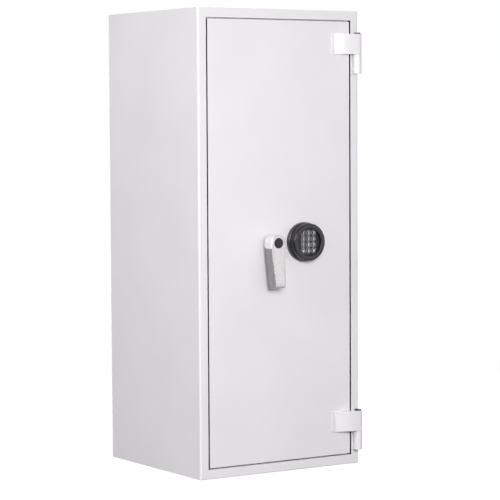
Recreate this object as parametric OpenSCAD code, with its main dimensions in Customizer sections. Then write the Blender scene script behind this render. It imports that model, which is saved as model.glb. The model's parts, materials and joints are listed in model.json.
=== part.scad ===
// Fire-resistant safe with one door, an electronic keypad lock and rack-driven boltwork.
// Millimetres, Z up. The origin is the centre of the base on the floor.
// The front faces -Y, and "depth" below means the distance behind the front face.

/* [Body] */
// Outside width of the body
body_w = 495; // [480:1:560]
// Outside depth of the body, without hinges and handle
body_d = 460; // [440:1:560]
// Outside height of the body
body_h = 1200; // [1150:1:1400]
// Thickness of the outer sheet, the back panel and the door frame
sheet_t = 3; // [2:0.5:4]
// Thickness of the liner sheet
liner_t = 2; // [1:0.5:3]
// Whole wall, from the outside to the inside of the liner
wall_t = 55; // [52:1:65]
// Bend radius of the upright front edges
edge_r = 5; // [4:0.5:8]
// Bend radius of the level edges
level_edge_r = 2; // [1:0.5:4]

/* [Door frame] */
// Width of the flat lip around the door
lip_w = 24.5; // [23:0.5:27]
// Gap between the lip and the door
door_gap = 3; // [2:0.5:4]
// Depth of the step that the door edge closes against
step_d = 25; // [24:0.5:30]
// Distance from the outside to the tunnel behind the step
tunnel_inset = 43; // [42:0.5:46]
// Thickness of the hardened strike plates
strike_t = 5; // [4:0.5:6]
// Width of the fire seal strip
seal_w = 12; // [8:0.5:13]

/* [Door] */
// Thickness of the door front sheet
door_t = 3; // [2:0.5:4]
// Corner radius of the door front
door_corner_r = 4; // [3:0.5:8]
// Depth of the folded door edge
door_edge_d = 22; // [20:0.5:23]
// Thickness of the fire filling in the door, measured from the front face
door_fill_d = 62; // [56:1:66]
// Clear depth for the boltwork
boltwork_d = 28; // [26.5:0.5:32]
// Sheet thickness of the inner tray and its cover
tray_t = 2; // [1.5:0.5:2.5]
// Clearance around the inner tray on the hinge side, top and bottom
tray_gap = 4; // [3:0.5:5]
// Clearance beside the inner tray on the swinging side
swing_gap = 17; // [16:0.5:20]

/* [Hinges] */
// Radius of the hinge knuckles
knuckle_r = 11.5; // [10:0.5:13]
// Radius of the hinge pins
hinge_pin_r = 6; // [5:0.5:7]
// Height of the door half of a hinge
pad_h = 53; // [45:1:60]
// Height of the frame half of a hinge
frame_knuckle_h = 50; // [40:1:60]
// Length of the door half, from the hinge axis to its free end
pad_l = 77.5; // [72:0.5:90]
// Foot of the lower hinge above the floor
lower_hinge_z = 39; // [35:1:80]
// Distance from the top of the body to the top of the upper hinge
upper_hinge_drop = 60; // [50:1:90]

/* [Handle] */
// Handle axis, left of the middle
handle_left = 36; // [34:0.5:45]
// Distance from the handle axis to the back edge of the lever end
lever_l = 120; // [100:1:135]
// How much higher the front edge of the slanted lever end lies
lever_end_slant = 7; // [4:0.5:10]
// Radius of the lever head
lever_head_r = 21.5; // [19:0.5:23]
// How far the straight sides of the head reach below the handle axis
lever_head_drop = 14; // [10:0.5:18]
// Width of the lever at its end
lever_end_w = 31; // [26:1:36]
// Distance from the door to the front of the lever head
lever_front = 46; // [42:0.5:50]
// Depth of the lever head, front to back
lever_t = 36; // [30:0.5:37]
// Depth of the lever end, front to back
lever_end_t = 31; // [26:0.5:35]
// How much further the front of the lever end stands out than its head
lever_rise = 9; // [4:0.5:14]
// Radius of the spindle
spindle_r = 8; // [7:0.5:9]
// Radius of the collar behind the lever
collar_r = 15; // [13:0.5:17]
// Radius of the black cap in the lever head
lever_cap_r = 13.5; // [11:0.5:15]

/* [Keypad] */
// Keypad axis, right of the middle
lock_right = 70; // [68:0.5:76]
// Keypad axis below the handle axis
lock_drop = 2; // [0:0.5:5]
// Radius of the base ring
base_r = 51.25; // [50:0.25:56]
// Height of the base ring
base_h = 12; // [11:0.5:13]
// Radius of the front housing
housing_r = 48.5; // [46:0.25:49.5]
// Distance from the door to the front rim
housing_front = 32.5; // [32:0.5:35]
// Radius of the recessed face
face_r = 35.5; // [35.25:0.25:37]
// Depth of the recess in the rim
recess_d = 7; // [6:0.5:7.5]
// Radius of a key
key_r = 5.8; // [5:0.1:6]
// Distance between key columns
key_pitch_x = 16.2; // [15.5:0.1:16.5]
// Distance between key rows
key_pitch_z = 15.6; // [15:0.1:15.8]
// Travel of a key
key_travel = 1.2; // [0.6:0.1:1.4]

/* [Boltwork] */
// Radius of the moving bolts
bolt_r = 10; // [9:0.5:10.5]
// Distance between the side bolts
bolt_spacing = 320; // [250:5:400]
// Gear module of the pinion and racks
gear_module = 2.5; // [2.25:0.25:2.5]
// Number of teeth on the pinion
pinion_teeth = 16; // [16:4:16]
// Thickness of the bars that carry the bolts
bar_t = 6; // [5:0.5:6]
// Radius of the fixed dogs on the hinge side
dog_r = 9; // [7:0.5:10]

/* [Inside] */
// Number of shelves
shelf_count = 3; // [3:1:3]
// Height of the folded shelf edge
shelf_h = 22; // [15:1:30]
// Sheet thickness of a shelf
shelf_t = 1.5; // [1:0.5:2]
// Distance between the slots in the shelf rails
rail_pitch = 50; // [40:5:60]
// Radius of the anchor holes
anchor_r = 7; // [6:0.5:9]

/* [Hidden] */
$fn = 64;
touch = 0.01;      // overlap that joins two solids of one piece
past = 1;          // how far a cut runs past the face that it opens
press_gap = 0.02;  // between pieces that are pressed together
run_gap = 0.08;    // between a shaft and its bore
fine_gap = 0.3;    // between faces that only come near each other

// Planes of the body
side_x = body_w / 2;
front_y = -body_d / 2;
inner_side_x = side_x - wall_t;
fill_side_x = side_x - sheet_t;
back_recess = 2;
fill_back_d = body_d - back_recess - sheet_t;
liner_back_d = body_d - wall_t;

// Door frame: lip, step, tunnel and the rear flange that carries the liner
lip_x = side_x - lip_w;
tunnel_x = side_x - tunnel_inset;
tray_d = door_fill_d + tray_t + boltwork_d + tray_t;
tray_end_gap = 3;
flange_d = tray_d + tray_end_gap;
liner_d = flange_d + sheet_t;
seal_inset = 4;

// Door
door_x = lip_x - door_gap;
door_z0 = lip_w + door_gap;
door_z1 = body_h - door_z0;
tray_x0 = -tunnel_x + swing_gap;
tray_x1 = tunnel_x - tray_gap;
tray_z0 = tunnel_inset + tray_gap;
tray_z1 = body_h - tray_z0;
floor_d = door_fill_d + tray_t;
cover_d = tray_d - tray_t;
cover_flange_w = 18;
notch_h = 34;
screw_r = 2.5;
screw_inset = 10;
screw_end = 22;
screw_rows = 4;
screw_l = 8;
screw_hole_gap = 0.2;
screw_head_r = 4.5;
screw_head_h = 2;
screw_head_edge = 1.2;
cover_screw_points = [for (x = [tray_x0 + screw_inset, tray_x1 - screw_inset], k = [0:screw_rows - 1])
    [x, tray_z0 + screw_end + k * (tray_z1 - tray_z0 - 2 * screw_end) / (screw_rows - 1)]];

// Hinges: the axis stands one knuckle radius and a small gap in front of the face
hinge_x = side_x - knuckle_r + 0.5;
hinge_y = front_y - knuckle_r - 0.5;
frame_foot_w = 14;
frame_foot_lap = 5;
pin_seat_h = 5;
bush_flange_t = 1;
bush_flange_inset = 0.5;
bush_gap = 0.1;
hinge_bush_t = 2;
pad_flange_t = 2.5;
pad_flange_l = 12;
pad_step = 1.5;
pin_end = 6;
pin_end_gap = 1;
cap_h = 3.5;
cap_r = 9;
cap_edge = 1;
cap_hole_r = hinge_pin_r - 1;
cap_stem_r = cap_hole_r - 0.05;
upper_hinge_z = body_h - upper_hinge_drop - pad_h - bush_flange_t - frame_knuckle_h;
hinge_zs = [lower_hinge_z, upper_hinge_z];

// Handle
handle_x = -handle_left;
handle_z = body_h / 2;
lever_back = lever_front - lever_t;
lever_round = 2;
lever_edge = 2;
lever_neck_inset = 0.8;
lever_neck_step = 4;
lever_neck_z = -6;
lever_stations = [0, 0.3, 0.55, 0.8, 1];
cap_recess = 2;
cap_proud = 1;
cap_gap = 0.1;
collar_edge = 1;
square_w = 11;
square_depth = 8;
square_gap = 0.05;
spindle_sleeve_wall = 3;

// Keypad, with heights measured out from the door
lock_x = lock_right;
lock_z = handle_z - lock_drop;
key_z = lock_z + 1;
face_t = 1.6;
face_top = housing_front - recess_d;
face_back = face_top - face_t;
face_edge_r = face_r + 2.5;
key_proud = 1.5;
key_flange_t = 1.2;
key_flange_w = 0.7;
key_gap = 0.2;
key_edge = 0.5;
key_dish_w = 1.4;
key_dish = 0.3;
key_back = face_back - fine_gap - key_flange_t;
mat_top = key_back - key_travel - fine_gap;
mat_t = 2;
mat_rim_w = 1.5;
board_t = 1.6;
board_back = mat_top - mat_t - board_t;
housing_wall = 2.5;
rim_edge = [3.5, 3.5];
rim_knee = [1, 1.3];
recess_edge = 2;
notch = [22, 8, 3];
notch_turn = 48;
base_floor = 2;
base_wall = 8;
base_edge = 2.5;
post_r = 3;
post_ring_r = 34;
battery_gap = 1.2;
battery_drop = 4;
battery_size = [48, 26, board_back - base_floor - battery_gap];
cable_r = 1.8;
cable_hole_r = cable_r + 2;
cable_up = 26;
keys = [for (row = [0:3], col = [0:2]) [(col - 1) * key_pitch_x, (1.5 - row) * key_pitch_z]];

// Boltwork: vertical racks in the front layer, the side bolt bar in the rear layer
pitch_r = gear_module * pinion_teeth / 2;
tooth_pitch = PI * gear_module;
bolt_throw = pitch_r * PI / 2;
pressure_angle = 20;
rack_addendum = 0.88 * gear_module;
tooth_depth = 1.24 * gear_module;
backlash = 0.25;
rod_d0 = floor_d + 2;
rod_d1 = rod_d0 + bar_t;
bolt_d = floor_d + 14;
bar_d0 = bolt_d - bar_t / 2;
bar_d1 = bolt_d + bar_t / 2;
pinion_over = 0.5;
pinion_d0 = rod_d0 - pinion_over;
pinion_d1 = bar_d1 + pinion_over;
ring_t = 1.4;
ring_w = 4;
ring_open_w = 6;
ring_groove = 1;
ring_gap = 0.1;
spindle_end_l = 5;
spindle_end_d = pinion_d1 + spindle_end_l;
rod_w = 16;
rod_guide_wall = 5;
rod_guide_top = 3;
rod_guide_l = 20;
rod_guide_way = 130;
bolt_edge = 2;
bolt_tip_proud = 2;
end_tip_proud = 1;
guide_wall = 2.5;
guide_l = 10;
guide_flange_t = 2;
guide_flange_w = 1.3;
guide_r = bolt_r + run_gap + guide_wall;
guide_flange_r = guide_r + guide_flange_w;
side_tip_x = tray_x0 - bolt_tip_proud;
side_bolt_free = bolt_tip_proud + bolt_throw + guide_l + 2;
fork_l = 28;
side_bolt_l = side_bolt_free + fork_l;
cross_pin_r = 3;
cross_pin_inset = 1.5;
bar_x0 = side_tip_x + side_bolt_free;
bar_w = 24;
bar_overhang = 30;
side_bolt_zs = [for (k = [-1:1]) handle_z + k * bolt_spacing];
rack_back = 11;
carriage_teeth = [-2, 6];
rod_teeth = [-1, 6];
end_bolt_free = end_tip_proud + bolt_throw + guide_l + 2;
end_bolt_lap = 34;
end_bolt_l = end_bolt_free + end_bolt_lap;
rack_end = 24;
top_rod_x = handle_x - pitch_r - tooth_depth - rod_w / 2;
bottom_rod_x = handle_x + pitch_r + tooth_depth + rod_w / 2;
dog_reach = 13.5;
dog_seat_l = 14;
dog_nut_w = 4;
dog_nut_h = 8;
dog_edge = 1;
dog_tip_x = tunnel_x + dog_reach;
dog_clear = 7;
bolt_clear = 1.5;
pocket_extra = 3;
pocket_depth = bolt_throw - 2;
strike_w = 34;
strike_l = 100;

// Lock case above the bar, with a bolt that the sloped end of the bar lets down
case_w = 61;
case_h = 85;
case_t = boltwork_d - 2;
case_x = lock_x + 5;
lock_bolt_w = 16;
lock_bolt_t = 8;
lock_bolt_travel = 10;
lock_slot_h = 32;
lock_slot_top_gap = 2;
lock_hole_r = 3.5;
lock_hole_inset = 8;
bar_slope = lock_bolt_travel / bolt_throw;
rack_pitch_z = handle_z - pitch_r;
rack_top_z = rack_pitch_z - tooth_depth;
slope_x0 = case_x - lock_bolt_w / 2;
slope_run_out = 3;
slope_x1 = case_x + lock_bolt_w / 2 + bolt_throw + slope_run_out;
slope_top_z = rack_pitch_z + 2;
slope_flat_w = 6;
slope_rise_w = 14;
slope_end_h = 6;
case_z0 = slope_top_z + 6;

// Shelves
shelf_back_gap = 12;
shelf_side_gap = 0.5;
shelf_return_w = 10;
rail_w = 20;
rail_t = 2;
rail_slot = [8, 12];
rail_margin = 40;
rail_inset = 40;
rail_ds = [liner_d + rail_inset, liner_back_d - rail_inset];
clip_w = 12;
clip_t = 3;
clip_h = 14;
shelf_zs = [for (k = [1:shelf_count]) wall_t + k * (body_h - 2 * wall_t) / (shelf_count + 1)];

// Anchors
anchor_sleeve_wall = 3;
floor_anchor_y = 20;
rear_anchor_drop = 230;
rear_anchor_z = body_h - rear_anchor_drop;

// Helpers

// A box from x0 to x1 and z0 to z1, between two depths
module block(x0, x1, d0, d1, z0, z1) {
    translate([x0, front_y + d0, z0]) cube([x1 - x0, d1 - d0, z1 - z0]);
}

// A flat outline drawn in X and Z, between two depths
module plate(d0, d1) {
    translate([0, front_y + d1, 0]) rotate([90, 0, 0]) linear_extrude(d1 - d0) children();
}

// Round bars along each axis
module round_x(d, z, r, x0, x1) {
    translate([x0, front_y + d, z]) rotate([0, 90, 0]) cylinder(r = r, h = x1 - x0);
}
module round_y(x, z, r, d0, d1) {
    translate([x, front_y + d1, z]) rotate([90, 0, 0]) cylinder(r = r, h = d1 - d0);
}
module round_z(x, d, r, z0, z1) {
    translate([x, front_y + d, z0]) cylinder(r = r, h = z1 - z0);
}

// A rectangle with round corners
module round_rect(w, h, r) {
    square([w - 2 * r, h], center = true);
    square([w, h - 2 * r], center = true);
    for (sx = [-1, 1], sy = [-1, 1]) translate([sx * (w / 2 - r), sy * (h / 2 - r)]) circle(r = r);
}

// A rectangle from y = 0 back, with its two front corners round
module front_round(w, d, r) {
    translate([-w / 2, r]) square([w, d - r]);
    translate([-w / 2 + r, 0]) square([w - 2 * r, d]);
    for (sx = [-1, 1]) translate([sx * (w / 2 - r), r]) circle(r = r);
}

// A round part turned about the keypad axis, drawn as radius and height above the door
module keypad_turned() {
    translate([lock_x, front_y, lock_z]) rotate([90, 0, 0]) rotate_extrude() children();
}

// A frame-shaped ring between two insets from the outside of the body
module frame_ring(inset0, inset1, d0, d1) {
    difference() {
        block(-side_x + inset0, side_x - inset0, d0, d1, inset0, body_h - inset0);
        block(-side_x + inset1, side_x - inset1, d0 - past, d1 + past, inset1, body_h - inset1);
    }
}

// Body

module outer_casing() {
    color("gainsboro") difference() {
        intersection() {
            translate([0, front_y, 0]) linear_extrude(body_h) front_round(body_w, body_d, edge_r);
            translate([-side_x, 0, body_h / 2]) rotate([0, 90, 0]) linear_extrude(body_w)
                translate([0, front_y]) front_round(body_h, body_d, level_edge_r);
        }
        block(-fill_side_x, fill_side_x, sheet_t, body_d + past, sheet_t, body_h - sheet_t);
        block(-lip_x, lip_x, -past, sheet_t + past, lip_w, body_h - lip_w);
        round_z(0, floor_anchor_y - front_y, anchor_r, -past, sheet_t + past);
    }
}

module back_panel() {
    color("gainsboro") difference() {
        block(-fill_side_x, fill_side_x, fill_back_d, fill_back_d + sheet_t, sheet_t, body_h - sheet_t);
        round_y(0, rear_anchor_z, anchor_r, fill_back_d - past, fill_back_d + sheet_t + past);
    }
}

// Pockets for the bolts and dogs, from the tunnel wall outwards
module bolt_pockets(side_r, dog_hole_r, start, reach) {
    for (z = side_bolt_zs) {
        round_x(bolt_d, z, side_r, -tunnel_x - reach, -tunnel_x - start);
        round_x(bolt_d, z, dog_hole_r, tunnel_x + start, tunnel_x + reach);
    }
    round_z(top_rod_x, bolt_d, side_r, body_h - tunnel_inset + start, body_h - tunnel_inset + reach);
    round_z(bottom_rod_x, bolt_d, side_r, tunnel_inset - reach, tunnel_inset - start);
}

module wall_filling() {
    color("darkgray") difference() {
        block(-fill_side_x, fill_side_x, sheet_t, fill_back_d, sheet_t, body_h - sheet_t);
        frame_space(lip_w - sheet_t, 0, step_d + sheet_t);
        frame_space(tunnel_inset - sheet_t, step_d, liner_d);
        frame_space(wall_t - liner_t, liner_d - past, liner_back_d + liner_t);
        strike_blocks();
        bolt_pockets(bolt_r + bolt_clear + pocket_extra, dog_r + dog_clear + pocket_extra,
            0, pocket_depth);
        anchor_space(anchor_r + anchor_sleeve_wall);
    }
}

// The space inside a frame-shaped wall
module frame_space(inset, d0, d1) {
    block(-side_x + inset, side_x - inset, d0, d1, inset, body_h - inset);
}

// Hardened plates behind the tunnel wall, where the bolts and dogs reach through
module strike_blocks() {
    inset = tunnel_inset - sheet_t;
    d0 = bolt_d - strike_w / 2;
    d1 = bolt_d + strike_w / 2;
    for (z = side_bolt_zs, sx = [-1, 1]) {
        x = sx * (side_x - inset + strike_t / 2);
        block(x - strike_t / 2, x + strike_t / 2, d0, d1, z - strike_l / 2, z + strike_l / 2);
    }
    block(top_rod_x - strike_l / 2, top_rod_x + strike_l / 2, d0, d1,
        body_h - inset, body_h - inset + strike_t);
    block(bottom_rod_x - strike_l / 2, bottom_rod_x + strike_l / 2, d0, d1, inset - strike_t, inset);
}

module anchor_space(r) {
    round_z(0, floor_anchor_y - front_y, r, 0, wall_t + past);
    round_y(0, rear_anchor_z, r, liner_back_d - past, body_d);
}

module front_frame() {
    color("gainsboro") difference() {
        union() {
            frame_ring(lip_w - sheet_t, lip_w, sheet_t, step_d);
            frame_ring(lip_w - sheet_t, tunnel_inset, step_d, step_d + sheet_t);
            frame_ring(tunnel_inset - sheet_t, tunnel_inset, step_d, flange_d);
            frame_ring(tunnel_inset - sheet_t, wall_t, flange_d, liner_d);
        }
        bolt_pockets(bolt_r + bolt_clear, dog_r + dog_clear, -past, sheet_t + past);
    }
}

module strike_plates() {
    color("dimgray") difference() {
        strike_blocks();
        bolt_pockets(bolt_r + bolt_clear, dog_r + dog_clear, sheet_t - past, sheet_t + strike_t + past);
    }
}

module inner_liner() {
    color("lightgray") difference() {
        frame_space(wall_t - liner_t, liner_d, liner_back_d + liner_t);
        frame_space(wall_t, liner_d - past, liner_back_d);
        anchor_space(anchor_r);
    }
}

module fire_seal() {
    color("dimgray") frame_ring(tunnel_inset - seal_inset - seal_w, tunnel_inset - seal_inset,
        door_edge_d + fine_gap, step_d);
}

module anchor_sleeves() {
    color("silver") difference() {
        union() {
            round_z(0, floor_anchor_y - front_y, anchor_r + anchor_sleeve_wall, sheet_t, wall_t - liner_t);
            round_y(0, rear_anchor_z, anchor_r + anchor_sleeve_wall, liner_back_d + liner_t, fill_back_d);
        }
        anchor_space(anchor_r);
    }
}

// Inside fittings

module rail_at(sx, d) {
    x0 = sx > 0 ? inner_side_x - rail_t : -inner_side_x;
    z0 = wall_t + rail_margin;
    z1 = body_h - wall_t - rail_margin;
    difference() {
        block(x0, x0 + rail_t, d - rail_w / 2, d + rail_w / 2, z0, z1);
        for (z = [z0 + rail_pitch / 2 : rail_pitch : z1 - rail_pitch / 3])
            block(x0 - past, x0 + rail_t + past, d - rail_slot[0] / 2, d + rail_slot[0] / 2,
                z - rail_slot[1] / 2, z + rail_slot[1] / 2);
    }
}

module shelf_rails() {
    color("silver") for (sx = [-1, 1], d = rail_ds) rail_at(sx, d);
}

module clip_at(sx, d, z) {
    x = inner_side_x - rail_t;
    translate([0, front_y + d, z]) mirror([sx < 0 ? 1 : 0, 0, 0]) translate([x, 0, 0])
        rotate([90, 0, 0]) translate([0, 0, -rail_w / 4]) linear_extrude(rail_w / 2)
            polygon([[0, 0], [-clip_w, 0], [-clip_w, -clip_t], [-clip_t, -clip_h], [0, -clip_h]]);
}

module shelf_clips() {
    color("silver") for (z = shelf_zs, sx = [-1, 1], d = rail_ds) clip_at(sx, d, z);
}

module shelf(z) {
    x = inner_side_x - rail_t - shelf_side_gap;
    d0 = liner_d + shelf_back_gap;
    d1 = liner_back_d - shelf_back_gap;
    color("gainsboro") {
        block(-x, x, d0, d1, z, z + shelf_t);
        for (d = [d0, d1 - shelf_t]) block(-x, x, d, d + shelf_t, z + shelf_t - shelf_h, z + touch);
        for (d = [d0, d1 - shelf_return_w])
            block(-x, x, d, d + shelf_return_w, z + shelf_t - shelf_h, z + 2 * shelf_t - shelf_h);
    }
}
module lower_shelf() { shelf(shelf_zs[0]); }
module middle_shelf() { shelf(shelf_zs[1]); }
module upper_shelf() { shelf(shelf_zs[2]); }

// Hinges

// Plan of the door half: a knuckle and a leaf whose back bulges in one arc to the knuckle
module pad_plan() {
    knuckle_top_y = hinge_y - knuckle_r;
    arch_l = pad_l - pad_flange_l;
    arch_h = front_y - pad_flange_t - pad_step - knuckle_top_y;
    arch_r = (arch_l * arch_l + arch_h * arch_h) / (2 * arch_h);
    body_x = hinge_x - arch_l;
    translate([hinge_x, hinge_y]) circle(r = knuckle_r);
    intersection() {
        translate([hinge_x, knuckle_top_y + arch_r]) circle(r = arch_r, $fn = 160);
        translate([body_x, knuckle_top_y - 1])
            square([hinge_x - body_x, front_y - 0.5 - knuckle_top_y + 1]);
    }
    translate([body_x, front_y - 0.5 - touch]) square([door_x - body_x - touch, 0.5 + touch]);
    translate([hinge_x - pad_l + pad_flange_t / 2, front_y - pad_flange_t])
        square([pad_flange_l, pad_flange_t]);
    translate([hinge_x - pad_l + pad_flange_t / 2, front_y - pad_flange_t / 2])
        circle(r = pad_flange_t / 2);
}

module hinge_pad(z0) {
    z = z0 + frame_knuckle_h + bush_flange_t;
    color("whitesmoke") difference() {
        translate([0, 0, z]) linear_extrude(pad_h) pad_plan();
        translate([hinge_x, hinge_y, z - past])
            cylinder(r = hinge_pin_r + hinge_bush_t, h = pad_h - pin_end + past);
        translate([hinge_x, hinge_y, z]) cylinder(r = cap_hole_r, h = pad_h + past);
    }
}
module lower_hinge_pad() { hinge_pad(hinge_zs[0]); }
module upper_hinge_pad() { hinge_pad(hinge_zs[1]); }

module frame_knuckle(z0) {
    color("whitesmoke") difference() {
        union() {
            translate([hinge_x, hinge_y, z0]) cylinder(r = knuckle_r, h = frame_knuckle_h);
            translate([hinge_x - frame_foot_w + frame_foot_lap, hinge_y, z0])
                cube([frame_foot_w, front_y - hinge_y, frame_knuckle_h]);
        }
        translate([hinge_x, hinge_y, z0 + pin_seat_h])
            cylinder(r = hinge_pin_r + press_gap, h = frame_knuckle_h);
    }
}
module lower_frame_knuckle() { frame_knuckle(hinge_zs[0]); }
module upper_frame_knuckle() { frame_knuckle(hinge_zs[1]); }

module hinge_pins() {
    pin_l = frame_knuckle_h - pin_seat_h + bush_flange_t + pad_h - pin_end - pin_end_gap;
    color("silver") for (z = hinge_zs) translate([hinge_x, hinge_y, z + pin_seat_h])
        cylinder(r = hinge_pin_r, h = pin_l);
}

module hinge_bushes() {
    bush_l = bush_flange_t + pad_h - pin_end - 2 * bush_gap;
    color("ivory") for (z = hinge_zs) translate([hinge_x, hinge_y, z + frame_knuckle_h + bush_gap])
        difference() {
            union() {
                cylinder(r = knuckle_r - bush_flange_inset, h = bush_flange_t - bush_gap);
                cylinder(r = hinge_pin_r + hinge_bush_t - press_gap, h = bush_l);
            }
            translate([0, 0, -past]) cylinder(r = hinge_pin_r + run_gap, h = bush_l + 2 * past);
        }
}

module hinge_caps() {
    top = frame_knuckle_h + bush_flange_t + pad_h;
    color("black") for (z = hinge_zs) translate([hinge_x, hinge_y, z + top]) {
        rotate_extrude() polygon([[0, 0], [cap_r, 0], [cap_r, cap_h - cap_edge], [cap_r - cap_edge, cap_h],
            [0, cap_h]]);
        translate([0, 0, -pin_end + pin_end_gap])
            cylinder(r = cap_stem_r, h = pin_end - pin_end_gap + touch);
    }
}

// Door

module door_solid(x, z0, z1, d, r) {
    intersection() {
        translate([0, front_y, z0]) linear_extrude(z1 - z0) front_round(2 * x, d, level_edge_r);
        translate([-x, 0, (z0 + z1) / 2]) rotate([0, 90, 0]) linear_extrude(2 * x)
            translate([0, front_y]) front_round(z1 - z0, d, level_edge_r);
        translate([0, 0, (z0 + z1) / 2]) plate(0, d) round_rect(2 * x, z1 - z0, r);
    }
}

module door_holes() {
    round_y(handle_x, handle_z, spindle_r + spindle_sleeve_wall, -past, floor_d + past);
    round_y(lock_x, lock_z + cable_up, cable_hole_r, -past, floor_d + past);
}

module door_plate() {
    color("gainsboro") difference() {
        door_solid(door_x, door_z0, door_z1, door_edge_d, door_corner_r);
        block(-door_x + door_t, door_x - door_t, door_t, door_edge_d - door_t,
            door_z0 + door_t, door_z1 - door_t);
        block(tray_x0, tray_x1, door_edge_d - door_t - past, door_edge_d + past, tray_z0, tray_z1);
        door_holes();
    }
}

module door_filling() {
    color("darkgray") difference() {
        union() {
            block(-door_x + door_t, door_x - door_t, door_t, door_edge_d - door_t,
                door_z0 + door_t, door_z1 - door_t);
            block(tray_x0 + tray_t, tray_x1 - tray_t, door_edge_d - door_t - touch, door_fill_d,
                tray_z0 + tray_t, tray_z1 - tray_t);
        }
        door_holes();
    }
}

// The tray ends in two inward flanges that the rear cover is screwed to, notched beside the bolts
module inner_tray() {
    color("lightgray") difference() {
        block(tray_x0, tray_x1, door_edge_d - door_t, cover_d, tray_z0, tray_z1);
        block(tray_x0 + tray_t, tray_x1 - tray_t, door_edge_d - door_t - past, door_fill_d,
            tray_z0 + tray_t, tray_z1 - tray_t);
        block(tray_x0 + tray_t, tray_x1 - tray_t, floor_d, cover_d - tray_t,
            tray_z0 + tray_t, tray_z1 - tray_t);
        block(tray_x0 + cover_flange_w, tray_x1 - cover_flange_w, floor_d + past, cover_d + past,
            tray_z0 + tray_t, tray_z1 - tray_t);
        for (z = side_bolt_zs, x = [tray_x0, tray_x1 - cover_flange_w])
            block(x + tray_t, x + cover_flange_w - tray_t, cover_d - tray_t - past, cover_d + past,
                z - notch_h / 2, z + notch_h / 2);
        for (p = cover_screw_points) round_y(p[0], p[1], screw_r, cover_d - tray_t - past, cover_d + past);
        door_holes();
        guide_bores(guide_r);
        for (z = side_bolt_zs) round_x(bolt_d, z, dog_r, tray_x1 - tray_t - past, tray_x1 + past);
    }
}

// Holes through the tray walls where the bolts leave
module guide_bores(r) {
    for (z = side_bolt_zs) round_x(bolt_d, z, r, tray_x0 - past, tray_x0 + tray_t + past);
    round_z(top_rod_x, bolt_d, r, tray_z1 - tray_t - past, tray_z1 + past);
    round_z(bottom_rod_x, bolt_d, r, tray_z0 - past, tray_z0 + tray_t + past);
}

// A flanged bush pushed out through a tray wall; z = 0 is the wall's outer face, inwards is up
module guide_bush() {
    difference() {
        union() {
            cylinder(r = guide_r - press_gap, h = guide_l);
            translate([0, 0, tray_t]) cylinder(r = guide_flange_r, h = guide_flange_t);
        }
        translate([0, 0, -past]) cylinder(r = bolt_r + run_gap, h = guide_l + 2 * past);
    }
}

module bolt_guides() {
    color("ivory") {
        for (z = side_bolt_zs) translate([tray_x0, front_y + bolt_d, z]) rotate([0, 90, 0]) guide_bush();
        translate([top_rod_x, front_y + bolt_d, tray_z1]) rotate([180, 0, 0]) guide_bush();
        translate([bottom_rod_x, front_y + bolt_d, tray_z0]) guide_bush();
    }
}

module rear_cover() {
    color("gainsboro") difference() {
        block(tray_x0, tray_x1, cover_d, tray_d, tray_z0, tray_z1);
        for (p = cover_screw_points)
            round_y(p[0], p[1], screw_r + screw_hole_gap, cover_d - past, tray_d + past);
    }
}

// Pan-head screws, threaded into the tray's flanges
module cover_screws() {
    color("silver") for (p = cover_screw_points) {
        round_y(p[0], p[1], screw_r - press_gap, cover_d - screw_l, tray_d + touch);
        translate([p[0], front_y + tray_d, p[1]]) rotate([-90, 0, 0]) rotate_extrude()
            polygon([[0, 0], [screw_head_r, 0], [screw_head_r - 0.5, screw_head_edge],
                [screw_head_r / 2, screw_head_h], [0, screw_head_h]]);
    }
}

module spindle_sleeve() {
    color("silver") difference() {
        round_y(handle_x, handle_z, spindle_r + spindle_sleeve_wall - press_gap, 0, floor_d + 1);
        round_y(handle_x, handle_z, spindle_r + run_gap, -past, floor_d + 1 + past);
    }
}

module handle_collar() {
    collar_h = lever_back - fine_gap;
    color("silver") translate([handle_x, front_y, handle_z]) rotate([90, 0, 0]) rotate_extrude()
        polygon([[spindle_r + run_gap, 0], [collar_r, 0], [collar_r, collar_h - collar_edge],
            [collar_r - collar_edge, collar_h], [spindle_r + run_gap, collar_h]]);
}

module rod_guide(x, z) {
    difference() {
        block(x - rod_w / 2 - rod_guide_wall, x + rod_w / 2 + rod_guide_wall, floor_d, rod_d1 + rod_guide_top,
            z - rod_guide_l / 2, z + rod_guide_l / 2);
        block(x - rod_w / 2 - fine_gap, x + rod_w / 2 + fine_gap, rod_d0 - fine_gap, rod_d1 + fine_gap,
            z - rod_guide_l / 2 - past, z + rod_guide_l / 2 + past);
    }
}

module rod_guides() {
    color("silver") {
        for (z = [handle_z + rod_guide_way, tray_z1 - rod_guide_way]) rod_guide(top_rod_x, z);
        for (z = [handle_z - rod_guide_way, tray_z0 + rod_guide_way]) rod_guide(bottom_rod_x, z);
    }
}

module fixed_dogs() {
    color("silver") for (z = side_bolt_zs) {
        round_x(bolt_d, z, dog_r - press_gap, tray_x1 - tray_t - dog_seat_l, dog_tip_x - dog_edge);
        translate([dog_tip_x - dog_edge - touch, front_y + bolt_d, z]) rotate([0, 90, 0])
            cylinder(r1 = dog_r - press_gap, r2 = dog_r - dog_edge, h = dog_edge);
        translate([tray_x1 - tray_t - dog_nut_h, front_y + bolt_d, z]) rotate([0, 90, 0])
            cylinder(r = dog_r + dog_nut_w, h = dog_nut_h, $fn = 6);
    }
}

// Lock inside the door

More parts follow.
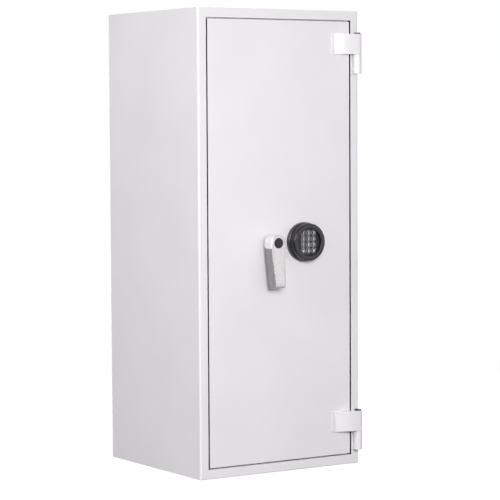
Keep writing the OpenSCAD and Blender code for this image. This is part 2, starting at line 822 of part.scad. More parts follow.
module lock_case() {
    x0 = case_x - case_w / 2;
    color("silver") difference() {
        block(x0, x0 + case_w, floor_d, floor_d + case_t, case_z0, case_z0 + case_h);
        block(case_x - lock_bolt_w / 2 - fine_gap, case_x + lock_bolt_w / 2 + fine_gap,
            bolt_d - lock_bolt_t / 2 - fine_gap, bolt_d + lock_bolt_t / 2 + fine_gap,
            case_z0 - past, case_z0 + lock_slot_h);
        for (sx = [-1, 1], z = [case_z0 + lock_hole_inset, case_z0 + case_h - lock_hole_inset])
            round_y(case_x + sx * (case_w / 2 - lock_hole_inset), z, lock_hole_r,
                floor_d - past, floor_d + case_t + past);
    }
}

module lock_bolt() {
    drop = bar_slope * lock_bolt_w;
    z = slope_top_z + fine_gap * 1.5;
    top_z = case_z0 + lock_slot_h - lock_slot_top_gap;
    color("goldenrod") plate(bolt_d - lock_bolt_t / 2, bolt_d + lock_bolt_t / 2)
        polygon([[slope_x0, z], [slope_x0 + lock_bolt_w, z - drop], [slope_x0 + lock_bolt_w, top_z],
            [slope_x0, top_z]]);
}

module lock_cable() {
    color("black") round_y(lock_x, lock_z + cable_up, cable_r, -board_back, floor_d);
}

// Keypad

module keypad_base() {
    color([0.1, 0.1, 0.11]) difference() {
        union() {
            keypad_turned() polygon([[0, 0], [base_r, 0], [base_r, base_h - base_edge],
                [base_r - base_edge, base_h], [base_r - base_wall, base_h], [base_r - base_wall, base_floor],
                [0, base_floor]]);
            for (a = [90, 210, 330]) translate([lock_x + post_ring_r * cos(a), front_y,
                lock_z + post_ring_r * sin(a)]) rotate([90, 0, 0]) cylinder(r = post_r, h = board_back);
        }
        round_y(lock_x, lock_z + cable_up, cable_hole_r, -base_floor - past, past);
    }
}

module keypad_housing() {
    color([0.1, 0.1, 0.11]) difference() {
        keypad_turned() polygon([[housing_r - housing_wall, base_h], [housing_r, base_h],
            [housing_r, housing_front - rim_edge[1]], [housing_r - rim_knee[0], housing_front - rim_knee[1]],
            [housing_r - rim_edge[0], housing_front], [face_r + recess_edge, housing_front],
            [face_r, housing_front - recess_edge], [face_r, face_top], [housing_r - housing_wall, face_top]]);
        translate([lock_x, front_y - base_h - notch[1] / 2 + past, lock_z]) rotate([0, notch_turn, 0])
            translate([0, 0, -housing_r]) cube(notch, center = true);
    }
}

module keypad_face() {
    color([0.16, 0.16, 0.18]) difference() {
        keypad_turned() translate([0, face_back]) square([face_edge_r, face_t]);
        for (k = keys)
            round_y(lock_x + k[0], key_z + k[1], key_r + key_gap, -face_top - past, -face_back + past);
    }
}

module key_mat() {
    color("gray") keypad_turned() polygon([[0, mat_top - mat_t], [face_edge_r, mat_top - mat_t],
        [face_edge_r, face_back], [face_edge_r - mat_rim_w, face_back], [face_edge_r - mat_rim_w, mat_top],
        [0, mat_top]]);
}

module circuit_board() {
    color("darkgreen") keypad_turned() translate([0, board_back]) square([face_edge_r, board_t]);
}

module battery() {
    color("dimgray") translate([lock_x - battery_size[0] / 2, front_y - base_floor - battery_size[2],
        lock_z - battery_size[1] / 2 - battery_drop])
            cube([battery_size[0], battery_size[2], battery_size[1]]);
}

module key(index) {
    key_top = face_top + key_proud;
    color([0.12, 0.12, 0.13]) translate([lock_x + keys[index][0], front_y, key_z + keys[index][1]])
        rotate([90, 0, 0]) rotate_extrude() polygon([[0, key_back], [key_r + key_flange_w, key_back],
            [key_r + key_flange_w, key_back + key_flange_t], [key_r, key_back + key_flange_t],
            [key_r, key_top - key_edge], [key_r - key_edge, key_top], [key_r - 2 * key_edge, key_top],
            [key_r - key_dish_w, key_top - key_dish], [0, key_top - key_dish]]);
}

// Handle

// Half of the head in plan, as width and distance from the door
module lever_head_plan() {
    polygon([[0, lever_back], [lever_head_r - lever_edge, lever_back],
        [lever_head_r, lever_back + lever_edge], [lever_head_r, lever_front - lever_edge],
        [lever_head_r - lever_edge, lever_front], [0, lever_front]]);
}

// Small balls in the corners of the bar's section, from the neck at t = 0 to the end at t = 1
function eased(t) = t * t * (3 - 2 * t);
module lever_section(t) {
    r = lever_round;
    neck_half = lever_head_r - lever_neck_inset;
    neck_back = lever_back + lever_neck_step;
    end_back = lever_front + lever_rise - lever_end_t;
    half = neck_half + (lever_end_w / 2 - neck_half) * eased(t);
    back = neck_back + (end_back - neck_back) * t * t;
    front = lever_front + lever_rise * eased(t);
    z = lever_neck_z - (lever_l + lever_neck_z - r) * t;
    for (sx = [-1, 1]) {
        translate([sx * (half - r), -back - r, z]) sphere(r = r, $fn = 16);
        translate([sx * (half - r), -front + r, z + lever_end_slant * t]) sphere(r = r, $fn = 16);
    }
}

// A head with a round top and straight sides, and a curved bar that narrows to its slanted end
module handle_lever() {
    color("silver") translate([handle_x, front_y, handle_z]) difference() {
        union() {
            rotate([90, 0, 0]) rotate_extrude() lever_head_plan();
            translate([0, 0, -lever_head_drop]) linear_extrude(lever_head_drop)
                for (m = [0, 1]) mirror([m, 0]) mirror([0, 1]) lever_head_plan();
            for (k = [1:len(lever_stations) - 1]) hull() {
                lever_section(lever_stations[k - 1]);
                lever_section(lever_stations[k]);
            }
        }
        rotate([90, 0, 0]) translate([0, 0, lever_front - cap_recess])
            cylinder(r = lever_cap_r + cap_gap, h = cap_recess + lever_rise);
        translate([-square_w / 2, -lever_front + square_depth, -square_w / 2])
            cube([square_w, lever_t, square_w]);
    }
}

module lever_cap() {
    p = lever_front - cap_recess;
    color([0.08, 0.08, 0.08]) translate([handle_x, front_y, handle_z]) rotate([90, 0, 0])
        rotate_extrude() polygon([[0, p], [lever_cap_r, p], [lever_cap_r, lever_front],
            [lever_cap_r - cap_proud, lever_front + cap_proud], [0, lever_front + cap_proud]]);
}

module spindle() {
    color("gray") union() {
        difference() {
            round_y(handle_x, handle_z, spindle_r, -lever_back, spindle_end_d);
            difference() {
                round_y(handle_x, handle_z, spindle_r + past, pinion_d1 + ring_gap,
                    pinion_d1 + ring_t + 3 * ring_gap);
                round_y(handle_x, handle_z, spindle_r - ring_groove, pinion_d1, spindle_end_d);
            }
        }
        block(handle_x - square_w / 2 + square_gap, handle_x + square_w / 2 - square_gap,
            -lever_front + square_depth, -lever_back + touch,
            handle_z - square_w / 2 + square_gap, handle_z + square_w / 2 - square_gap);
    }
}

module spindle_ring() {
    d0 = pinion_d1 + 2 * ring_gap;
    color("dimgray") difference() {
        round_y(handle_x, handle_z, spindle_r + ring_w, d0, d0 + ring_t);
        round_y(handle_x, handle_z, spindle_r - ring_groove + press_gap, d0 - past, d0 + ring_t + past);
        block(handle_x - ring_open_w / 2, handle_x + ring_open_w / 2, d0 - past, d0 + ring_t + past,
            handle_z - spindle_r - ring_w - past, handle_z);
    }
}

// Pinion and racks

// The angle between a radius to the base circle and to the same involute at pressure angle a
function involute(a) = tan(a) * 180 / PI - a;
base_circle_r = pitch_r * cos(pressure_angle);
tip_r = pitch_r + rack_addendum;
root_r = pitch_r - tooth_depth;
half_tooth = 90 / pinion_teeth - backlash / 2 / pitch_r * 180 / PI;
function flank_angle(r) = half_tooth + involute(pressure_angle) - involute(acos(min(1, base_circle_r / r)));
flank_steps = 5;
flank_rs = [for (k = [0:flank_steps]) base_circle_r + (tip_r - base_circle_r) * k / flank_steps];
function polar(r, a) = [r * cos(a), r * sin(a)];
function tooth(a) = concat(
    [polar(root_r, a - flank_angle(base_circle_r))],
    [for (r = flank_rs) polar(r, a - flank_angle(r))],
    [for (k = [flank_steps:-1:0]) polar(flank_rs[k], a + flank_angle(flank_rs[k]))],
    [polar(root_r, a + flank_angle(base_circle_r))]);

module pinion() {
    color("goldenrod") difference() {
        translate([handle_x, 0, handle_z]) plate(pinion_d0, pinion_d1) polygon([for (k = [0:pinion_teeth - 1])
            each tooth((k + 0.5) * 360 / pinion_teeth)]);
        round_y(handle_x, handle_z, spindle_r + press_gap, 0, spindle_end_d);
    }
}

// Rack teeth pointing to +Y along X, with one tooth on the axis and the pitch line at y = 0
module rack_teeth(range) {
    half = tooth_pitch / 4 - backlash / 4;
    slope = tan(pressure_angle);
    for (k = [range[0]:range[1]]) translate([k * tooth_pitch, 0])
        polygon([[-half - tooth_depth * slope, -tooth_depth - 1], [-half - tooth_depth * slope, -tooth_depth],
            [-half + rack_addendum * slope, rack_addendum], [half - rack_addendum * slope, rack_addendum],
            [half + tooth_depth * slope, -tooth_depth], [half + tooth_depth * slope, -tooth_depth - 1]]);
}

// The arm of the upright bar: a rack, and a sloped end that works the lock bolt
module rack_arm() {
    slope_end_z = slope_top_z - bar_slope * (slope_x1 - slope_x0);
    translate([handle_x, rack_pitch_z]) rack_teeth(carriage_teeth);
    polygon([[bar_x0 + bar_w / 4, rack_top_z - rack_back], [bar_x0 + bar_w / 4, rack_top_z],
        [slope_x0 - slope_rise_w, rack_top_z], [slope_x0 - slope_flat_w, slope_top_z],
        [slope_x0, slope_top_z], [slope_x1, slope_end_z], [slope_x1, slope_end_z - slope_end_h],
        [slope_x0 - slope_rise_w, rack_top_z - rack_back]]);
}

module bolt_carriage() {
    color("silver") difference() {
        union() {
            block(bar_x0, bar_x0 + bar_w, bar_d0, bar_d1,
                side_bolt_zs[0] - bar_overhang, side_bolt_zs[2] + bar_overhang);
            plate(bar_d0, bar_d1) rack_arm();
        }
        for (z = side_bolt_zs)
            round_y(bar_x0 + bar_w / 2, z, cross_pin_r + press_gap, bar_d0 - past, bar_d1 + past);
    }
}

// A bolt with a rounded tip, along +Z from its foot
module bolt_body(l) {
    cylinder(r = bolt_r, h = l - bolt_edge);
    translate([0, 0, l - bolt_edge - touch])
        cylinder(r1 = bolt_r, r2 = bolt_r - bolt_edge, h = bolt_edge + touch);
}

// The side bolts straddle the upright bar with a slot, and a cross pin holds each one
module side_bolts() {
    color("silver") for (z = side_bolt_zs) {
        difference() {
            translate([side_tip_x + side_bolt_l, front_y + bolt_d, z]) rotate([0, -90, 0])
                bolt_body(side_bolt_l);
            block(side_tip_x + side_bolt_free, side_tip_x + side_bolt_l + past, bar_d0, bar_d1,
                z - bolt_r - past, z + bolt_r + past);
        }
        round_y(bar_x0 + bar_w / 2, z, cross_pin_r, bolt_d - bolt_r + cross_pin_inset,
            bolt_d + bolt_r - cross_pin_inset);
    }
}

// The end bolts are flattened in front, where their rods lie
module end_bolt(x, sz, tip_z) {
    foot_z = tip_z - sz * end_bolt_l;
    difference() {
        translate([x, front_y + bolt_d, foot_z]) mirror([0, 0, sz < 0 ? 1 : 0]) bolt_body(end_bolt_l);
        block(x - bolt_r - past, x + bolt_r + past, bolt_d - bolt_r - past, rod_d1,
            sz > 0 ? foot_z - past : foot_z - end_bolt_lap - past,
            sz > 0 ? foot_z + end_bolt_lap + past : foot_z + past);
    }
}

module top_bolt_rod() {
    tip_z = tray_z1 + end_tip_proud;
    color("silver") {
        end_bolt(top_rod_x, 1, tip_z);
        plate(rod_d0, rod_d1) {
            translate([top_rod_x - rod_w / 2, handle_z - bolt_throw - rack_end])
                square([rod_w, tip_z - end_bolt_free - handle_z + bolt_throw + rack_end]);
            translate([handle_x - pitch_r, handle_z]) rotate(-90) rack_teeth(rod_teeth);
        }
    }
}

module bottom_bolt_rod() {
    tip_z = tray_z0 - end_tip_proud;
    color("silver") {
        end_bolt(bottom_rod_x, -1, tip_z);
        plate(rod_d0, rod_d1) {
            translate([bottom_rod_x - rod_w / 2, tip_z + end_bolt_free])
                square([rod_w, handle_z + bolt_throw + rack_end - tip_z - end_bolt_free]);
            translate([handle_x + pitch_r, handle_z]) rotate(90) rack_teeth(rod_teeth);
        }
    }
}

outer_casing();
back_panel();
wall_filling();
front_frame();
inner_liner();
fire_seal();
strike_plates();
lower_frame_knuckle();
upper_frame_knuckle();
hinge_pins();
shelf_rails();
shelf_clips();
lower_shelf();
middle_shelf();
upper_shelf();
anchor_sleeves();
door_plate();
door_filling();
inner_tray();
rear_cover();
cover_screws();
lower_hinge_pad();
upper_hinge_pad();
hinge_bushes();
hinge_caps();
spindle_sleeve();
handle_collar();
bolt_guides();
rod_guides();
fixed_dogs();
lock_case();
lock_cable();
keypad_base();
keypad_housing();
keypad_face();
key_mat();
circuit_board();
battery();
handle_lever();
lever_cap();
spindle();
pinion();
spindle_ring();
bolt_carriage();
side_bolts();
top_bolt_rod();
bottom_bolt_rod();
lock_bolt();
key(0);  // key_1
key(1);  // key_2
key(2);  // key_3
key(3);  // key_4
key(4);  // key_5
key(5);  // key_6
key(6);  // key_7
key(7);  // key_8
key(8);  // key_9
key(9);  // key_star
key(10);  // key_0
key(11);  // key_hash
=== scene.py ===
import json
import math

import bmesh
import bpy
from mathutils import Matrix, Vector


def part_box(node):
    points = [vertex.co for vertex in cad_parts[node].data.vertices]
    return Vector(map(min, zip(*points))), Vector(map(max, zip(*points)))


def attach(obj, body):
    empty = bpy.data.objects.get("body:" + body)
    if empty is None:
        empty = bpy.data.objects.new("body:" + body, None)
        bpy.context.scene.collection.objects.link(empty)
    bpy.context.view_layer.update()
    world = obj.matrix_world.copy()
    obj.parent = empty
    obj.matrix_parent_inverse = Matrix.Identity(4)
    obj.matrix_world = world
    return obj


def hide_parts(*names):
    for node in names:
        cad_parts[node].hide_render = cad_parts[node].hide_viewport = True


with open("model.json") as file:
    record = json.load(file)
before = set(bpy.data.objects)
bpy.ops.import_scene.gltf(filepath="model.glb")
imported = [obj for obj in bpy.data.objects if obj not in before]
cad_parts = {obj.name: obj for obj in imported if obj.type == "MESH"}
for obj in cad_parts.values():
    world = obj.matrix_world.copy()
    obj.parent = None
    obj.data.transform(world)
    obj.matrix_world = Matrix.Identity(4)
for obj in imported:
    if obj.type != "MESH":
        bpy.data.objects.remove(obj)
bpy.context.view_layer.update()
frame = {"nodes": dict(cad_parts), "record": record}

mm = 0.001
nodes = frame["nodes"]
slotOf = {part["node"]: part["material_slot"] for part in frame["record"]["subparts"]}
bodyOf = {node: body for body, names in frame["record"]["behaviour"]["bodies"].items() for node in names}
scene = bpy.context.scene
print("frame loaded:", len(nodes), "CAD nodes")


def middle(node):
    low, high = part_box(node)
    return (low + high) / 2


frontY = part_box("outer_casing")[0].y             # the door and the lip lie in this plane
handleAt = Vector((middle("handle_collar").x, frontY, middle("handle_collar").z))
keypadAt = Vector((middle("keypad_base").x, frontY, middle("keypad_base").z))

# fitted to the corners of the body in the 500 x 500 photograph
photoCamera = {
    "place": (-3.00769, -4.76852, 0.92341),      # metres
    "yaw": 32.698,                               # degrees to the right of +Y
    "pitch": 3.617,                              # degrees down
    "roll": -0.300,
    "focalPixels": 2103.8,
    "imagePixels": 500,
    "sensor": 36.0,                              # mm
}


def addCamera(look):
    yaw, pitch, roll = (math.radians(look[key]) for key in ("yaw", "pitch", "roll"))
    ahead = Vector((math.sin(yaw) * math.cos(pitch), math.cos(yaw) * math.cos(pitch), -math.sin(pitch)))
    right = Vector((math.cos(yaw), -math.sin(yaw), 0))
    up = right.cross(ahead)
    rolledRight = right * math.cos(roll) + up * math.sin(roll)
    rolledUp = up * math.cos(roll) - right * math.sin(roll)
    data = bpy.data.cameras.new("camera")
    data.sensor_width = look["sensor"]
    data.lens = look["focalPixels"] * look["sensor"] / look["imagePixels"]
    camera = bpy.data.objects.new("camera", data)
    turn = Matrix((rolledRight, rolledUp, -ahead)).transposed().to_4x4()
    camera.matrix_world = Matrix.Translation(look["place"]) @ turn
    scene.collection.objects.link(camera)
    scene.camera = camera


addCamera(photoCamera)
print("camera placed")

noiseRange = {"From Min": 0.3, "From Max": 0.7}  # nearly all of a noise lies in it


def linear(hexCode):                             # sRGB to linear, as the shaders want it
    channels = [int(hexCode[i:i + 2], 16) / 255 for i in (1, 3, 5)]
    return tuple(c / 12.92 if c <= 0.04045 else ((c + 0.055) / 1.055) ** 2.4 for c in channels) + (1.0,)


def perMetre(size):                              # texture scale for a pattern of that size in mm
    return 1000 / size


def addNode(tree, kind, inputs=None, **settings):
    # an input takes a number, a hex colour, a socket, or a node, whose first output is then used
    node = tree.nodes.new("ShaderNode" + kind)
    for name, value in settings.items():
        setattr(node, name, value)
    for key, value in (inputs or {}).items():
        if isinstance(value, bpy.types.Node):
            value = value.outputs[0]
        if isinstance(value, bpy.types.NodeSocket):
            tree.links.new(value, node.inputs[key])
        else:
            node.inputs[key].default_value = linear(value) if isinstance(value, str) else value
    return node


def startMaterial(name):
    material = bpy.data.materials.new(name)
    material.use_nodes = True
    tree = material.node_tree
    tree.nodes.clear()
    return material, tree, addNode(tree, "TexCoord").outputs["Object"]


def finishMaterial(material, surface):
    tree = material.node_tree
    addNode(tree, "OutputMaterial", {"Surface": addNode(tree, "BsdfPrincipled", surface)})
    return material


# pattern sizes below are in mm; a pixel of the photo is about 2.6 mm on the door
def powderCoatedSteel(name, hexCode, shadeCode, peel=2.6, rough=0.42):
    # sprayed and baked polyester powder: an even satin skin with a fine orange peel, and a slow
    # drift in its tone. Real peel is about 1.2 mm across, drawn twice as coarse so that it shows.
    material, tree, place = startMaterial(name)
    cloud = addNode(tree, "TexNoise", {"Vector": place, "Scale": perMetre(210), "Detail": 3.0})
    patch = addNode(tree, "MapRange", {"Value": cloud, **noiseRange})
    colour = addNode(tree, "Mix", {"Factor": patch, 6: hexCode, 7: shadeCode}, data_type="RGBA")
    skin = addNode(tree, "TexNoise", {"Vector": place, "Scale": perMetre(peel), "Detail": 3.0,
                                      "Roughness": 0.55})
    shine = addNode(tree, "MapRange", {"Value": skin, **noiseRange, "To Min": rough - 0.03,
                                       "To Max": rough + 0.03})
    bump = addNode(tree, "Bump", {"Height": skin, "Distance": 0.05 * mm, "Strength": 0.55})
    return finishMaterial(material, {"Base Color": colour.outputs[2], "Roughness": shine, "IOR": 1.5,
                                     "Normal": bump})


def satinNickel(name, hexCode, shadeCode):
    # cast zinc, ground lengthways and nickel plated: a soft grey mirror with faint upright grain.
    # Real grain is about 0.2 mm apart, drawn at 0.9 mm so that it shows.
    material, tree, place = startMaterial(name)
    cloud = addNode(tree, "TexNoise", {"Vector": place, "Scale": perMetre(30), "Detail": 2.0})
    colour = addNode(tree, "Mix", {"Factor": cloud, 6: hexCode, 7: shadeCode}, data_type="RGBA")
    along = addNode(tree, "Mapping", {"Vector": place, "Scale": (1.0, 1.0, 0.03)})
    grain = addNode(tree, "TexNoise", {"Vector": along, "Scale": perMetre(0.9), "Detail": 2.0})
    shine = addNode(tree, "MapRange", {"Value": grain, **noiseRange, "To Min": 0.23, "To Max": 0.33})
    bump = addNode(tree, "Bump", {"Height": grain, "Distance": 0.012 * mm, "Strength": 0.2})
    return finishMaterial(material, {"Base Color": colour.outputs[2], "Roughness": shine, "Metallic": 1.0,
                                     "Normal": bump})


def blastedNickel(name, hexCode, shadeCode):
    # the same casting, bead blasted before plating: a bright matt skin without grain, whose brightness is
    # partly painted highlight.
    # Bead marks are about 0.3 mm across, drawn at 1.1 mm so that they show.
    material, tree, place = startMaterial(name)
    skin = addNode(tree, "TexNoise", {"Vector": place, "Scale": perMetre(1.1), "Detail": 3.0})
    colour = addNode(tree, "Mix", {"Factor": skin, 6: hexCode, 7: shadeCode}, data_type="RGBA")
    shine = addNode(tree, "MapRange", {"Value": skin, **noiseRange, "To Min": 0.42, "To Max": 0.55})
    bump = addNode(tree, "Bump", {"Height": skin, "Distance": 0.02 * mm, "Strength": 0.25})
    return finishMaterial(material, {"Base Color": colour.outputs[2], "Roughness": shine, "Metallic": 0.6,
                                     "Normal": bump})


def zincPlatedSteel(name, hexCode, shadeCode):
    # barrel plated sheet and bar: cloudy bluish grey with small bright flecks
    material, tree, place = startMaterial(name)
    cloud = addNode(tree, "TexNoise", {"Vector": place, "Scale": perMetre(14), "Detail": 4.0})
    patch = addNode(tree, "MapRange", {"Value": cloud, **noiseRange})
    colour = addNode(tree, "Mix", {"Factor": patch, 6: hexCode, 7: shadeCode}, data_type="RGBA")
    fleck = addNode(tree, "TexVoronoi", {"Vector": place, "Scale": perMetre(3)}).outputs["Distance"]
    shine = addNode(tree, "MapRange", {"Value": fleck, "From Max": 0.8, "To Min": 0.28, "To Max": 0.44})
    bump = addNode(tree, "Bump", {"Height": cloud, "Distance": 0.02 * mm, "Strength": 0.4})
    return finishMaterial(material, {"Base Color": colour.outputs[2], "Roughness": shine, "Metallic": 1.0,
                                     "Normal": bump})


def groundSteel(name, hexCode, shadeCode, axis):
    # turned and ground round bar: bright, with fine rings round its axis.
    # Real rings are about 0.2 mm apart, drawn at 0.7 mm so that they show.
    material, tree, place = startMaterial(name)
    cloud = addNode(tree, "TexNoise", {"Vector": place, "Scale": perMetre(25), "Detail": 2.0})
    colour = addNode(tree, "Mix", {"Factor": cloud, 6: hexCode, 7: shadeCode}, data_type="RGBA")
    around = addNode(tree, "Mapping", {"Vector": place, "Scale": tuple(1.0 if a else 0.02 for a in axis)})
    rings = addNode(tree, "TexNoise", {"Vector": around, "Scale": perMetre(0.7), "Detail": 1.0})
    shine = addNode(tree, "MapRange", {"Value": rings, **noiseRange, "To Min": 0.16, "To Max": 0.3})
    bump = addNode(tree, "Bump", {"Height": rings, "Distance": 0.01 * mm, "Strength": 0.6})
    return finishMaterial(material, {"Base Color": colour.outputs[2], "Roughness": shine, "Metallic": 1.0,
                                     "Normal": bump})


def blackenedSteel(name, hexCode, shadeCode):
    # hardened and oil blackened: dark, slightly blotchy satin
    material, tree, place = startMaterial(name)
    blotch = addNode(tree, "TexNoise", {"Vector": place, "Scale": perMetre(9), "Detail": 4.0})
    colour = addNode(tree, "Mix", {"Factor": blotch, 6: hexCode, 7: shadeCode}, data_type="RGBA")
    shine = addNode(tree, "MapRange", {"Value": blotch, **noiseRange, "To Min": 0.36, "To Max": 0.52})
    bump = addNode(tree, "Bump", {"Height": blotch, "Distance": 0.02 * mm, "Strength": 0.4})
    return finishMaterial(material, {"Base Color": colour.outputs[2], "Roughness": shine, "Metallic": 1.0,
                                     "Normal": bump})


def machinedBrass(name, hexCode, shadeCode):
    # hobbed or milled brass: warm yellow with fine tool lines.
    # Real lines are about 0.3 mm apart, drawn at 0.8 mm so that they show.
    material, tree, place = startMaterial(name)
    along = addNode(tree, "Mapping", {"Vector": place, "Scale": (1.0, 0.05, 1.0)})
    lines = addNode(tree, "TexNoise", {"Vector": along, "Scale": perMetre(0.8), "Detail": 1.0})
    colour = addNode(tree, "Mix", {"Factor": lines, 6: hexCode, 7: shadeCode}, data_type="RGBA")
    shine = addNode(tree, "MapRange", {"Value": lines, **noiseRange, "To Min": 0.2, "To Max": 0.36})
    bump = addNode(tree, "Bump", {"Height": lines, "Distance": 0.01 * mm, "Strength": 0.5})
    return finishMaterial(material, {"Base Color": colour.outputs[2], "Roughness": shine, "Metallic": 1.0,
                                     "Normal": bump})


def dieCastZinc(name, hexCode, shadeCode):
    # pressure die casting, tumbled: even mid grey with a slight skin
    material, tree, place = startMaterial(name)
    skin = addNode(tree, "TexNoise", {"Vector": place, "Scale": perMetre(2.2), "Detail": 4.0})
    colour = addNode(tree, "Mix", {"Factor": skin, 6: hexCode, 7: shadeCode}, data_type="RGBA")
    shine = addNode(tree, "MapRange", {"Value": skin, **noiseRange, "To Min": 0.4, "To Max": 0.55})
    bump = addNode(tree, "Bump", {"Height": skin, "Distance": 0.03 * mm, "Strength": 0.5})
    return finishMaterial(material, {"Base Color": colour.outputs[2], "Roughness": shine, "Metallic": 1.0,
                                     "Normal": bump})


def mouldedAbs(name, hexCode, shadeCode, rough=0.34, ior=1.54):
    # injection moulded in a spark-eroded tool: black plastic with a fine even grain.
    # The real grain is 0.3 mm, drawn three times as coarse so that it shows.
    material, tree, place = startMaterial(name)
    flow = addNode(tree, "TexNoise", {"Vector": place, "Scale": perMetre(18), "Detail": 2.0})
    patch = addNode(tree, "MapRange", {"Value": flow, **noiseRange, "To Max": 0.5})
    colour = addNode(tree, "Mix", {"Factor": patch, 6: hexCode, 7: shadeCode}, data_type="RGBA")
    skin = addNode(tree, "TexNoise", {"Vector": place, "Scale": perMetre(0.9), "Detail": 2.0})
    shine = addNode(tree, "MapRange", {"Value": skin, **noiseRange, "To Min": rough - 0.04,
                                       "To Max": rough + 0.04})
    bump = addNode(tree, "Bump", {"Height": skin, "Distance": 0.02 * mm, "Strength": 0.5})
    return finishMaterial(material, {"Base Color": colour.outputs[2], "Roughness": shine, "IOR": ior,
                                     "Normal": bump})


def siliconeRubber(name, hexCode, shadeCode):
    # pressed silicone: soft matte with a little bloom
    material, tree, place = startMaterial(name)
    bloom = addNode(tree, "TexNoise", {"Vector": place, "Scale": perMetre(4), "Detail": 3.0})
    patch = addNode(tree, "MapRange", {"Value": bloom, **noiseRange, "To Max": 0.6})
    colour = addNode(tree, "Mix", {"Factor": patch, 6: hexCode, 7: shadeCode}, data_type="RGBA")
    shine = addNode(tree, "MapRange", {"Value": bloom, **noiseRange, "To Min": 0.49, "To Max": 0.61})
    bump = addNode(tree, "Bump", {"Height": bloom, "Distance": 0.02 * mm, "Strength": 0.3})
    return finishMaterial(material, {"Base Color": colour.outputs[2], "Roughness": shine, "IOR": 1.41,
                                     "Normal": bump})


def printedInk(name, hexCode, thinCode):
    # pad-printed legend: a thin film, slightly broken.
    # Its pinholes are about 0.3 mm across, drawn at 1.2 mm so that they show.
    material, tree, place = startMaterial(name)
    film = addNode(tree, "TexNoise", {"Vector": place, "Scale": perMetre(1.2), "Detail": 2.0})
    patch = addNode(tree, "MapRange", {"Value": film, **noiseRange})
    colour = addNode(tree, "Mix", {"Factor": patch, 6: hexCode, 7: thinCode}, data_type="RGBA")
    shine = addNode(tree, "MapRange", {"Value": film, **noiseRange, "To Min": 0.4, "To Max": 0.55})
    return finishMaterial(material, {"Base Color": colour.outputs[2], "Roughness": shine, "IOR": 1.5})


def castNylon(name, hexCode, shadeCode):
    # turned polyamide bushes: ivory, waxy
    material, tree, place = startMaterial(name)
    cloud = addNode(tree, "TexNoise", {"Vector": place, "Scale": perMetre(8), "Detail": 2.0})
    colour = addNode(tree, "Mix", {"Factor": cloud, 6: hexCode, 7: shadeCode}, data_type="RGBA")
    shine = addNode(tree, "MapRange", {"Value": cloud, **noiseRange, "To Min": 0.32, "To Max": 0.44})
    bump = addNode(tree, "Bump", {"Height": cloud, "Distance": 0.02 * mm, "Strength": 0.3})
    return finishMaterial(material, {"Base Color": colour.outputs[2], "Roughness": shine, "IOR": 1.53,
                                     "Subsurface Weight": 0.08, "Normal": bump})


def swellingSeal(name, hexCode, shadeCode):
    # graphite strip that swells in a fire: dull grey, grainy cut surface.
    # Its flakes are about 0.5 mm across, drawn at 1.6 mm so that they show.
    material, tree, place = startMaterial(name)
    grit = addNode(tree, "TexNoise", {"Vector": place, "Scale": perMetre(1.6), "Detail": 5.0,
                                      "Roughness": 0.7})
    colour = addNode(tree, "Mix", {"Factor": grit, 6: hexCode, 7: shadeCode}, data_type="RGBA")
    shine = addNode(tree, "MapRange", {"Value": grit, **noiseRange, "To Min": 0.72, "To Max": 0.92})
    bump = addNode(tree, "Bump", {"Height": grit, "Distance": 0.12 * mm, "Strength": 0.8})
    return finishMaterial(material, {"Base Color": colour.outputs[2], "Roughness": shine, "IOR": 1.5,
                                     "Normal": bump})


def sealCoating(name, hexCode, shadeCode):
    # painted shade for the door gap: a dull, dark and slightly grainy paint on the faces beside the gap,
    # with its flakes as coarse as in the seal strip
    material, tree, place = startMaterial(name)
    grit = addNode(tree, "TexNoise", {"Vector": place, "Scale": perMetre(1.6), "Detail": 3.0})
    colour = addNode(tree, "Mix", {"Factor": grit, 6: hexCode, 7: shadeCode}, data_type="RGBA")
    shine = addNode(tree, "MapRange", {"Value": grit, **noiseRange, "To Min": 0.6, "To Max": 0.8})
    bump = addNode(tree, "Bump", {"Height": grit, "Distance": 0.05 * mm, "Strength": 0.5})
    return finishMaterial(material, {"Base Color": colour.outputs[2], "Roughness": shine, "IOR": 1.45,
                                     "Normal": bump})


def castFireFilling(name, hexCode, shadeCode):
    # foamed gypsum and cement: pale, porous, coarse.
    # Real pores are about 2 mm across, drawn at 5 mm so that they show.
    material, tree, place = startMaterial(name)
    grit = addNode(tree, "TexNoise", {"Vector": place, "Scale": perMetre(3), "Detail": 6.0,
                                      "Roughness": 0.65})
    colour = addNode(tree, "Mix", {"Factor": grit, 6: hexCode, 7: shadeCode}, data_type="RGBA")
    shine = addNode(tree, "MapRange", {"Value": grit, **noiseRange, "To Min": 0.8, "To Max": 0.95})
    pores = addNode(tree, "TexVoronoi", {"Vector": place, "Scale": perMetre(5)}).outputs["Distance"]
    bump = addNode(tree, "Bump", {"Height": pores, "Distance": 0.4 * mm, "Strength": 0.7})
    return finishMaterial(material, {"Base Color": colour.outputs[2], "Roughness": shine, "IOR": 1.5,
                                     "Normal": bump})


def epoxyBoard(name, hexCode, trackCode):
    # glass-epoxy board under green solder mask, with the copper tracks just showing.
    # Real tracks lie 2 mm apart or less, drawn at 6 mm so that they show.
    material, tree, place = startMaterial(name)
    tracks = addNode(tree, "TexBrick", {
        "Vector": place, "Scale": perMetre(6), "Color1": "#FFFFFF", "Color2": (0.4, 0.4, 0.4, 1.0),
        "Mortar": "#000000"}).outputs["Fac"]
    colour = addNode(tree, "Mix", {"Factor": tracks, 6: hexCode, 7: trackCode}, data_type="RGBA")
    shine = addNode(tree, "MapRange", {"Value": tracks, "To Min": 0.25, "To Max": 0.4})
    bump = addNode(tree, "Bump", {"Height": tracks, "Distance": 0.03 * mm, "Strength": 0.4})
    return finishMaterial(material, {"Base Color": colour.outputs[2], "Roughness": shine, "IOR": 1.55,
                                     "Normal": bump})


